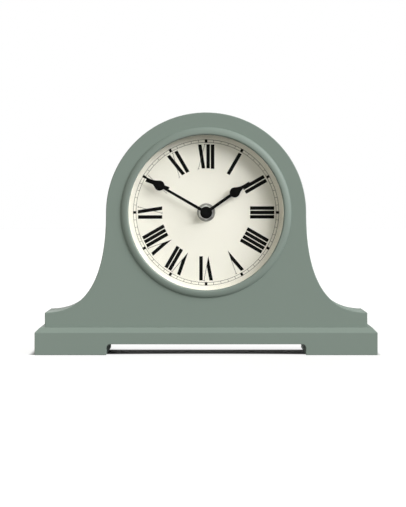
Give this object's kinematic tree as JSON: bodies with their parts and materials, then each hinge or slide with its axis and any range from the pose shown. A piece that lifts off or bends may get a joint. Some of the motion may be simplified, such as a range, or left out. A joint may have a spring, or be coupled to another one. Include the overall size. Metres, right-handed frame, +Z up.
{
  "type": "mantel clock",
  "caption": "Painted wooden mantel clock with an arched body on swept shoulders and a chamfered plinth, a round glazed dial, spade hands and a battery movement behind.",
  "frame": {"origin": "middle of the plinth's underside, on the surface that the clock stands on", "axes": "+X to the clock's right as seen from the front, +Y from the dial to the back, +Z up"},
  "size_m": [0.3, 0.076, 0.2127],
  "materials": {
    "painted_case": "matte",
    "bare_wood": "matte",
    "screw_steel": "satin",
    "front_glass": "polished",
    "black_ring": "matte",
    "spacer_card": "matte",
    "dial_enamel": "matte",
    "black_rubber": "matte",
    "nut_steel": "satin",
    "hand_black": "satin",
    "wheel_plastic": "satin",
    "arbor_brass": "satin",
    "rotor_plastic": "satin",
    "magnet": "matte",
    "housing_plastic": "matte",
    "knob_plastic": "satin",
    "cell_jacket": "satin",
    "contact_metal": "satin",
    "soft_iron": "satin",
    "bobbin_plastic": "matte",
    "winding_copper": "gloss",
    "board_laminate": "satin",
    "chip_resin": "satin",
    "crystal_metal": "satin"
  },
  "bodies": {
    "case": {"base_plinth": "painted_case", "front_panel": "painted_case", "dial_backer": "painted_case", "case_core": "painted_case", "back_panel": "painted_case", "case_dowels": "bare_wood", "base_screws": "screw_steel", "bezel_ring": "painted_case", "glass_lens": "front_glass", "glass_ring": "black_ring", "dial_spacer": "spacer_card", "dial_plate": "dial_enamel", "movement_gasket": "black_rubber", "dial_washer": "nut_steel", "hex_nut": "nut_steel", "front_housing": "housing_plastic", "rear_housing": "housing_plastic", "train_plate": "wheel_plastic", "positive_contact": "contact_metal", "negative_contact": "contact_metal", "stator_plate": "soft_iron", "coil_core": "soft_iron", "coil_bobbin": "bobbin_plastic", "coil_winding": "winding_copper", "circuit_board": "board_laminate", "chip_cover": "chip_resin", "crystal_can": "crystal_metal"},
    "minute": {"minute_hand": "hand_black", "hand_cap": "hand_black", "minute_arbor": "arbor_brass"},
    "hour": {"hour_hand": "hand_black", "hour_wheel": "wheel_plastic"},
    "motion": {"motion_wheel": "wheel_plastic"},
    "third": {"third_wheel": "wheel_plastic"},
    "seconds": {"seconds_wheel": "wheel_plastic"},
    "intermediate": {"intermediate_wheel": "wheel_plastic"},
    "rotor": {"rotor_pinion": "rotor_plastic", "rotor_magnet": "magnet"},
    "knob": {"setting_shaft": "knob_plastic", "setting_knob": "knob_plastic"},
    "battery": {"battery_cell": "cell_jacket"}
  },
  "joints": [
    {"name": "minute_turn", "type": "hinge", "parent": "case", "child": "minute", "pos_m": [0, -0.012, 0.1246], "axis": [0, 1, 0], "continuous": true},
    {"name": "hour_turn", "type": "hinge", "parent": "case", "child": "hour", "pos_m": [0, -0.012, 0.1246], "axis": [0, 1, 0], "continuous": true},
    {"name": "motion_turn", "type": "hinge", "parent": "case", "child": "motion", "pos_m": [-0.00495, -0.012, 0.12955], "axis": [0, 1, 0], "continuous": true},
    {"name": "third_turn", "type": "hinge", "parent": "case", "child": "third", "pos_m": [0.0054, -0.012, 0.13395], "axis": [0, 1, 0], "continuous": true},
    {"name": "seconds_turn", "type": "hinge", "parent": "case", "child": "seconds", "pos_m": [0, -0.012, 0.1246], "axis": [0, 1, 0], "continuous": true},
    {"name": "intermediate_turn", "type": "hinge", "parent": "case", "child": "intermediate", "pos_m": [0.0065, -0.012, 0.12085], "axis": [0, 1, 0], "continuous": true},
    {"name": "rotor_turn", "type": "hinge", "parent": "case", "child": "rotor", "pos_m": [0.0135, -0.012, 0.12085], "axis": [0, 1, 0], "continuous": true},
    {"name": "knob_turn", "type": "hinge", "parent": "case", "child": "knob", "pos_m": [-0.0123, -0.012, 0.12955], "axis": [0, 1, 0], "continuous": true},
    {"name": "battery_slide", "type": "slide", "parent": "case", "child": "battery", "axis": [0, 1, 0], "range_m": [0, 0.02]}
  ],
  "couplings": [
    {"joint": "hour_turn", "follows": "minute_turn", "ratio": 0.083333},
    {"joint": "motion_turn", "follows": "minute_turn", "ratio": -0.33333},
    {"joint": "third_turn", "follows": "minute_turn", "ratio": -8},
    {"joint": "seconds_turn", "follows": "minute_turn", "ratio": 60},
    {"joint": "intermediate_turn", "follows": "minute_turn", "ratio": -300},
    {"joint": "rotor_turn", "follows": "minute_turn", "ratio": 1800},
    {"joint": "knob_turn", "follows": "minute_turn", "ratio": 0.83333}
  ]
}
